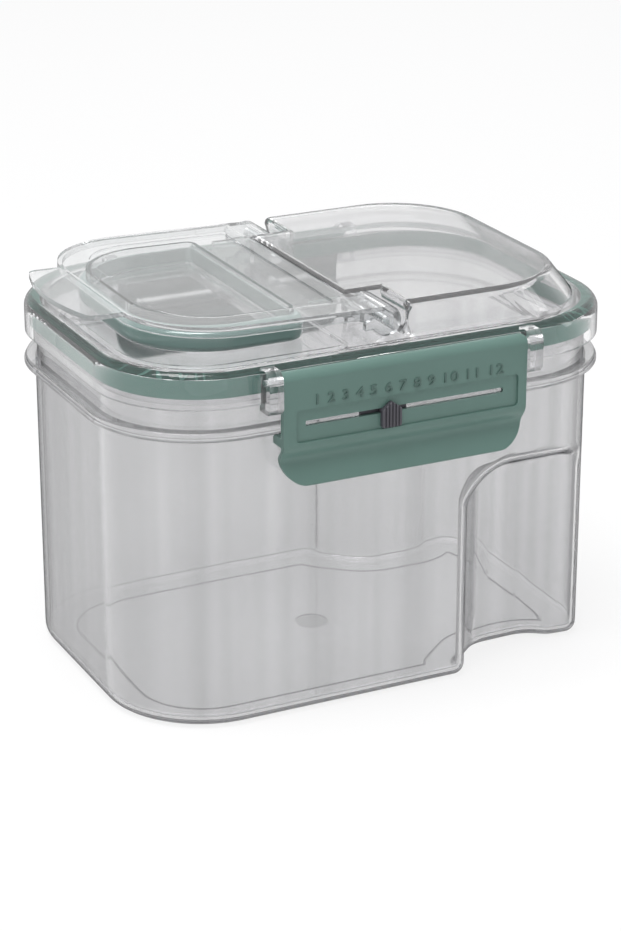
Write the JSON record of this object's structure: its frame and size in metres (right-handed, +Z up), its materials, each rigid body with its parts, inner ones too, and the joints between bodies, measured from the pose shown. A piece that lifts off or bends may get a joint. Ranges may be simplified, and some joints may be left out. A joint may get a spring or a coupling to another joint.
{
  "type": "food storage box",
  "caption": "Clear rounded storage box with waist grips, a gasketed lid held by side latches with date sliders, and a flip-up pour cover.",
  "frame": {"origin": "on the underside, at the middle of the container body", "axes": "+X along the long side, away from the pour cover; +Y to the back; +Z up"},
  "size_m": [0.2122, 0.1596, 0.1547],
  "materials": {
    "clear_body": "clear polished moulding with a faint grey tint",
    "clear_lid": "clear polished moulding",
    "clear_cover": "clear polished moulding",
    "green_latch": "satin sage green moulding",
    "green_seal": "smooth sage green silicone",
    "grey_slider": "matte dark grey moulding",
    "pin_steel": "drawn wire"
  },
  "bodies": {
    "box": {"container_body": "clear_body", "lid_shell": "clear_lid", "lid_gasket": "green_seal", "cover_pin_front": "pin_steel", "cover_pin_rear": "pin_steel", "front_latch_pin": "pin_steel", "rear_latch_pin": "pin_steel"},
    "pour_cover": {"flip_cover": "clear_cover", "spout_seal": "green_seal"},
    "front_latch_body": {"front_latch": "green_latch"},
    "rear_latch_body": {"rear_latch": "green_latch"},
    "front_slider_body": {"front_date_slider": "grey_slider", "front_slider_clip": "grey_slider"},
    "rear_slider_body": {"rear_date_slider": "grey_slider", "rear_slider_clip": "grey_slider"}
  },
  "joints": [
    {"name": "cover_flip", "type": "hinge", "parent": "box", "child": "pour_cover", "pos_m": [0.001, 0, 0.1469], "axis": [0, 1, 0], "range_deg": [0, 92]},
    {"name": "front_latch_swing", "type": "hinge", "parent": "box", "child": "front_latch_body", "pos_m": [0, -0.0752, 0.1358], "axis": [-1, 0, 0], "range_deg": [0, 150]},
    {"name": "rear_latch_swing", "type": "hinge", "parent": "box", "child": "rear_latch_body", "pos_m": [0, 0.0752, 0.1358], "axis": [1, 0, 0], "range_deg": [0, 150]},
    {"name": "front_slider_slide", "type": "slide", "parent": "front_latch_body", "child": "front_slider_body", "axis": [1, 0, 0], "range_m": [-0.0294, 0.0424]},
    {"name": "rear_slider_slide", "type": "slide", "parent": "rear_latch_body", "child": "rear_slider_body", "axis": [-1, 0, 0], "range_m": [-0.0294, 0.0424]}
  ]
}
